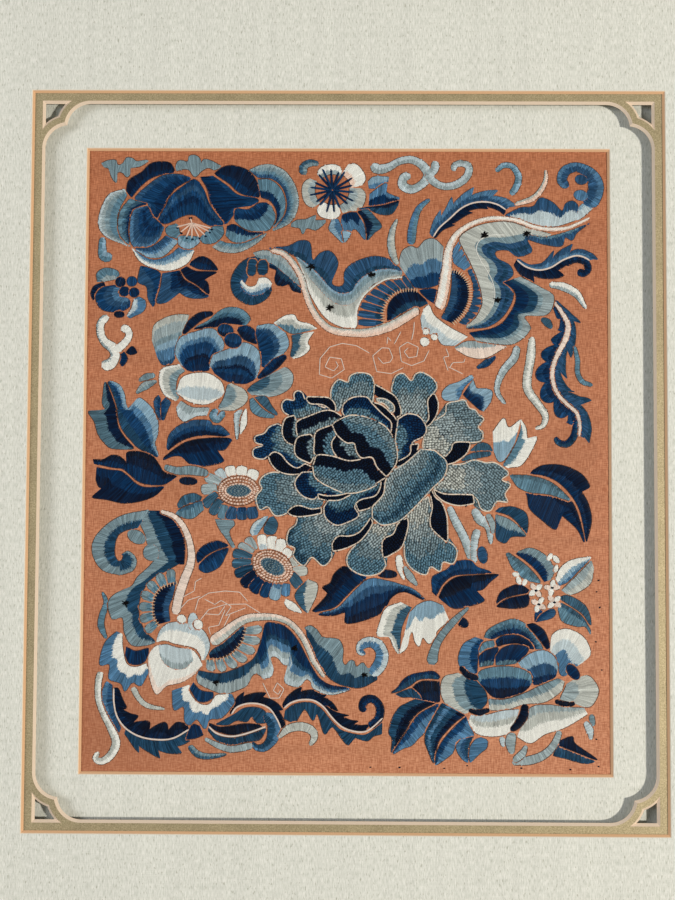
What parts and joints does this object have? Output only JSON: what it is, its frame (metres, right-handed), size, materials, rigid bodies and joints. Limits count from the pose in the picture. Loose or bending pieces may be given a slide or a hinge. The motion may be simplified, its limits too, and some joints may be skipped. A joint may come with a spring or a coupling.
{
  "type": "framed embroidered silk panel with its mats and frame",
  "caption": "Embroidered silk panel behind three cut mats, on a backing board in a plain mitred frame, lying on its back with its face up.",
  "frame": {"origin": "middle of the back, on the surface that the panel lies on", "axes": "+Z out of the panel's face, +Y towards the top edge of the picture, +X to the viewer's right"},
  "size_m": [0.447, 0.497, 0.02],
  "materials": {
    "frame_wood": "satin",
    "mat_cloth": "woven",
    "gold_paper": "metallic",
    "silk": "woven",
    "backing_board": "matte",
    "spacer_board": "matte"
  },
  "bodies": {
    "root": {"backing_board": "backing_board", "silk_panel": "silk", "inner_mat": "mat_cloth", "spacer_top": "spacer_board", "spacer_bottom": "spacer_board", "spacer_left": "spacer_board", "spacer_right": "spacer_board", "gold_mat": "gold_paper", "outer_mat": "mat_cloth", "frame_top": "frame_wood", "frame_bottom": "frame_wood", "frame_left": "frame_wood", "frame_right": "frame_wood"}
  },
  "joints": []
}
